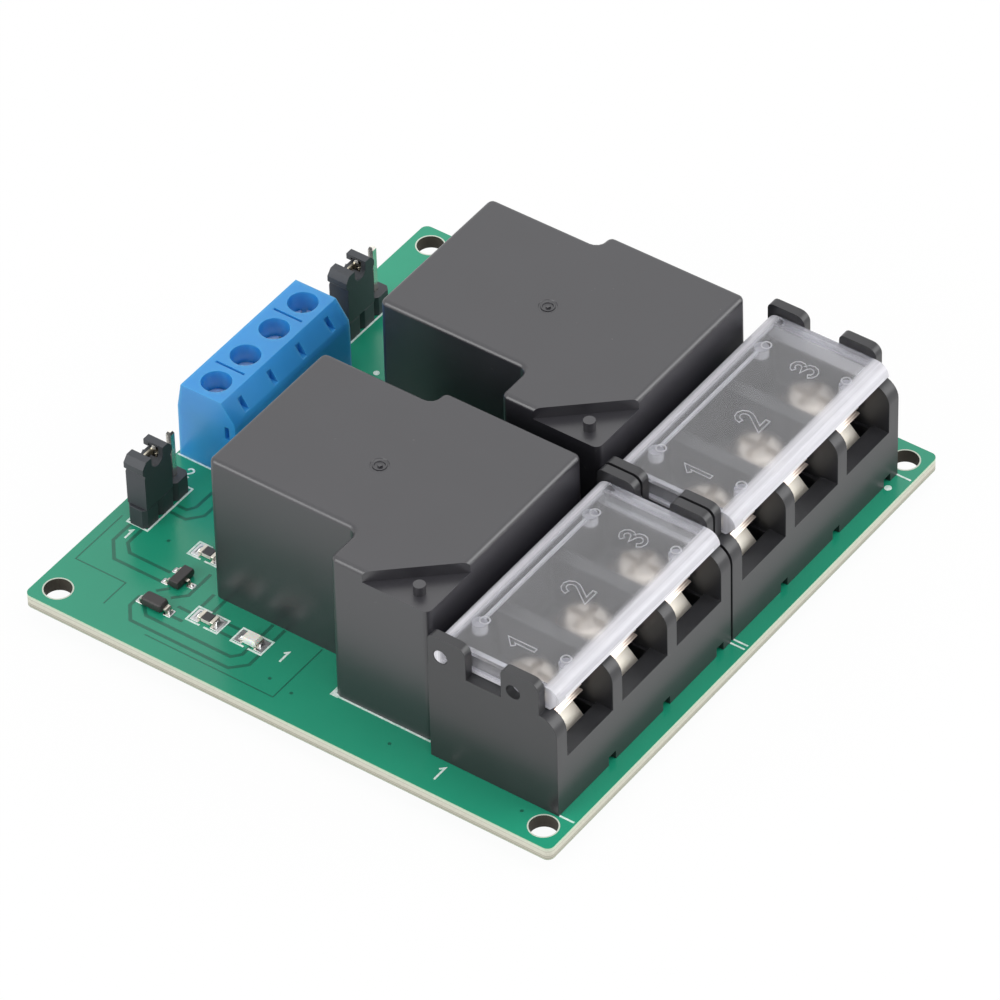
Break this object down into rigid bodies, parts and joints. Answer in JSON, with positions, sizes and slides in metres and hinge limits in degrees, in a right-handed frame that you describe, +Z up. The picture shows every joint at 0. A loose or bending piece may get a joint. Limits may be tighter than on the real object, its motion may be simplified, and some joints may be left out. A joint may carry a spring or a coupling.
{
  "type": "relay module board",
  "caption": "Green circuit board with stepped sealed relays, barrier terminal blocks under clear hinged covers, a blue screw wire terminal and jumper headers.",
  "frame": {"origin": "centre of the bounding box's bottom, at the level of the soldered lead tips that the board rests on", "axes": "+Z up out of the board's component side, +X from the blue wire terminal's edge to the barrier blocks' edge, +Y across the channels from the first to the second"},
  "size_m": [0.066, 0.07, 0.0225],
  "materials": {
    "board_mask": "green solder mask on glass fibre board",
    "solder": "smooth solder",
    "relay_plastic": "moulded, lightly textured",
    "relay_base_plastic": "moulded",
    "tinned_lead": "tin plated",
    "block_plastic": "moulded, glass filled",
    "clear_plastic": "moulded, clear",
    "nickel_plate": "nickel plated",
    "blue_plastic": "moulded, satin",
    "zinc_steel": "zinc plated",
    "header_plastic": "moulded",
    "gold_contact": "thin gold plate",
    "chip_plastic": "moulded",
    "chip_ceramic": "glazed, tinned ends",
    "lamp_resin": "milky resin"
  },
  "bodies": {
    "board": {"circuit_board": "board_mask", "solder_joints": "solder", "relay_case_1": "relay_plastic", "relay_case_2": "relay_plastic", "relay_base_1": "relay_base_plastic", "relay_base_2": "relay_base_plastic", "relay_pins_1": "tinned_lead", "relay_pins_2": "tinned_lead", "header_pins_1": "tinned_lead", "header_pins_2": "tinned_lead", "terminal_contacts": "tinned_lead", "block_housing_1": "block_plastic", "block_housing_2": "block_plastic", "block_contact_strips_1": "nickel_plate", "block_contact_strips_2": "nickel_plate", "terminal_housing": "blue_plastic", "header_base_1": "header_plastic", "header_base_2": "header_plastic", "transistor_1": "chip_plastic", "transistor_2": "chip_plastic", "diode_1": "chip_plastic", "diode_2": "chip_plastic", "resistor_1": "chip_ceramic", "resistor_2": "chip_ceramic", "resistor_3": "chip_ceramic", "resistor_4": "chip_ceramic", "indicator_lamp_1": "lamp_resin", "indicator_lamp_2": "lamp_resin"},
    "cover_1": {"block_cover_1": "clear_plastic"},
    "cover_2": {"block_cover_2": "clear_plastic"},
    "barrier_washer_1": {"block_washer_1": "nickel_plate"},
    "barrier_screw_1": {"block_screw_1": "nickel_plate"},
    "barrier_washer_2": {"block_washer_2": "nickel_plate"},
    "barrier_screw_2": {"block_screw_2": "nickel_plate"},
    "barrier_washer_3": {"block_washer_3": "nickel_plate"},
    "barrier_screw_3": {"block_screw_3": "nickel_plate"},
    "barrier_washer_4": {"block_washer_4": "nickel_plate"},
    "barrier_screw_4": {"block_screw_4": "nickel_plate"},
    "barrier_washer_5": {"block_washer_5": "nickel_plate"},
    "barrier_screw_5": {"block_screw_5": "nickel_plate"},
    "barrier_washer_6": {"block_washer_6": "nickel_plate"},
    "barrier_screw_6": {"block_screw_6": "nickel_plate"},
    "wire_screw_1": {"terminal_screw_1": "zinc_steel"},
    "wire_clamp_1": {"terminal_clamp_1": "zinc_steel"},
    "wire_screw_2": {"terminal_screw_2": "zinc_steel"},
    "wire_clamp_2": {"terminal_clamp_2": "zinc_steel"},
    "wire_screw_3": {"terminal_screw_3": "zinc_steel"},
    "wire_clamp_3": {"terminal_clamp_3": "zinc_steel"},
    "wire_screw_4": {"terminal_screw_4": "zinc_steel"},
    "wire_clamp_4": {"terminal_clamp_4": "zinc_steel"},
    "jumper_1": {"jumper_housing_1": "header_plastic", "jumper_contact_1": "gold_contact"},
    "jumper_2": {"jumper_housing_2": "header_plastic", "jumper_contact_2": "gold_contact"}
  },
  "joints": [
    {"name": "cover_1_hinge", "type": "hinge", "parent": "board", "child": "cover_1", "pos_m": [0.01695, -0.01545, 0.0179], "axis": [0, -1, 0], "range_deg": [0, 100]},
    {"name": "cover_2_hinge", "type": "hinge", "parent": "board", "child": "cover_2", "pos_m": [0.01695, 0.01515, 0.0179], "axis": [0, -1, 0], "range_deg": [0, 100]},
    {"name": "barrier_washer_1_lift", "type": "slide", "parent": "board", "child": "barrier_washer_1", "axis": [0, 0, 1], "range_m": [-0.0009, 0.0022]},
    {"name": "barrier_screw_1_turn", "type": "hinge", "parent": "barrier_washer_1", "child": "barrier_screw_1", "pos_m": [0.0238, -0.02495, 0.01275], "axis": [0, 0, 1], "range_deg": [-648.5, 1584.5]},
    {"name": "barrier_washer_2_lift", "type": "slide", "parent": "board", "child": "barrier_washer_2", "axis": [0, 0, 1], "range_m": [-0.0009, 0.0022]},
    {"name": "barrier_screw_2_turn", "type": "hinge", "parent": "barrier_washer_2", "child": "barrier_screw_2", "pos_m": [0.0238, -0.01545, 0.01275], "axis": [0, 0, 1], "range_deg": [-648.5, 1584.5]},
    {"name": "barrier_washer_3_lift", "type": "slide", "parent": "board", "child": "barrier_washer_3", "axis": [0, 0, 1], "range_m": [-0.0009, 0.0022]},
    {"name": "barrier_screw_3_turn", "type": "hinge", "parent": "barrier_washer_3", "child": "barrier_screw_3", "pos_m": [0.0238, -0.00595, 0.01275], "axis": [0, 0, 1], "range_deg": [-648.5, 1584.5]},
    {"name": "barrier_washer_4_lift", "type": "slide", "parent": "board", "child": "barrier_washer_4", "axis": [0, 0, 1], "range_m": [-0.0009, 0.0022]},
    {"name": "barrier_screw_4_turn", "type": "hinge", "parent": "barrier_washer_4", "child": "barrier_screw_4", "pos_m": [0.0238, 0.00565, 0.01275], "axis": [0, 0, 1], "range_deg": [-648.5, 1584.5]},
    {"name": "barrier_washer_5_lift", "type": "slide", "parent": "board", "child": "barrier_washer_5", "axis": [0, 0, 1], "range_m": [-0.0009, 0.0022]},
    {"name": "barrier_screw_5_turn", "type": "hinge", "parent": "barrier_washer_5", "child": "barrier_screw_5", "pos_m": [0.0238, 0.01515, 0.01275], "axis": [0, 0, 1], "range_deg": [-648.5, 1584.5]},
    {"name": "barrier_washer_6_lift", "type": "slide", "parent": "board", "child": "barrier_washer_6", "axis": [0, 0, 1], "range_m": [-0.0009, 0.0022]},
    {"name": "barrier_screw_6_turn", "type": "hinge", "parent": "barrier_washer_6", "child": "barrier_screw_6", "pos_m": [0.0238, 0.02465, 0.01275], "axis": [0, 0, 1], "range_deg": [-648.5, 1584.5]},
    {"name": "wire_screw_1_turn", "type": "hinge", "parent": "board", "child": "wire_screw_1", "pos_m": [-0.02915, -0.0066, 0.01025], "axis": [0, 0, 1], "range_deg": [-1080.5, 0]},
    {"name": "wire_clamp_1_lift", "type": "slide", "parent": "board", "child": "wire_clamp_1", "axis": [0, 0, 1], "range_m": [0, 0.0015]},
    {"name": "wire_screw_2_turn", "type": "hinge", "parent": "board", "child": "wire_screw_2", "pos_m": [-0.02915, -0.0016, 0.01025], "axis": [0, 0, 1], "range_deg": [-1080.5, 0]},
    {"name": "wire_clamp_2_lift", "type": "slide", "parent": "board", "child": "wire_clamp_2", "axis": [0, 0, 1], "range_m": [0, 0.0015]},
    {"name": "wire_screw_3_turn", "type": "hinge", "parent": "board", "child": "wire_screw_3", "pos_m": [-0.02915, 0.0034, 0.01025], "axis": [0, 0, 1], "range_deg": [-1080.5, 0]},
    {"name": "wire_clamp_3_lift", "type": "slide", "parent": "board", "child": "wire_clamp_3", "axis": [0, 0, 1], "range_m": [0, 0.0015]},
    {"name": "wire_screw_4_turn", "type": "hinge", "parent": "board", "child": "wire_screw_4", "pos_m": [-0.02915, 0.0084, 0.01025], "axis": [0, 0, 1], "range_deg": [-1080.5, 0]},
    {"name": "wire_clamp_4_lift", "type": "slide", "parent": "board", "child": "wire_clamp_4", "axis": [0, 0, 1], "range_m": [0, 0.0015]},
    {"name": "jumper_1_pull", "type": "slide", "parent": "board", "child": "jumper_1", "axis": [0, 0, 1], "range_m": [0, 0.006]},
    {"name": "jumper_2_pull", "type": "slide", "parent": "board", "child": "jumper_2", "axis": [0, 0, 1], "range_m": [0, 0.006]}
  ],
  "couplings": [
    {"joint": "barrier_screw_1_turn", "follows": "barrier_washer_1_lift", "rad_per_m": 12566},
    {"joint": "barrier_screw_2_turn", "follows": "barrier_washer_2_lift", "rad_per_m": 12566},
    {"joint": "barrier_screw_3_turn", "follows": "barrier_washer_3_lift", "rad_per_m": 12566},
    {"joint": "barrier_screw_4_turn", "follows": "barrier_washer_4_lift", "rad_per_m": 12566},
    {"joint": "barrier_screw_5_turn", "follows": "barrier_washer_5_lift", "rad_per_m": 12566},
    {"joint": "barrier_screw_6_turn", "follows": "barrier_washer_6_lift", "rad_per_m": 12566},
    {"joint": "wire_screw_1_turn", "follows": "wire_clamp_1_lift", "rad_per_m": -12566},
    {"joint": "wire_screw_2_turn", "follows": "wire_clamp_2_lift", "rad_per_m": -12566},
    {"joint": "wire_screw_3_turn", "follows": "wire_clamp_3_lift", "rad_per_m": -12566},
    {"joint": "wire_screw_4_turn", "follows": "wire_clamp_4_lift", "rad_per_m": -12566}
  ]
}
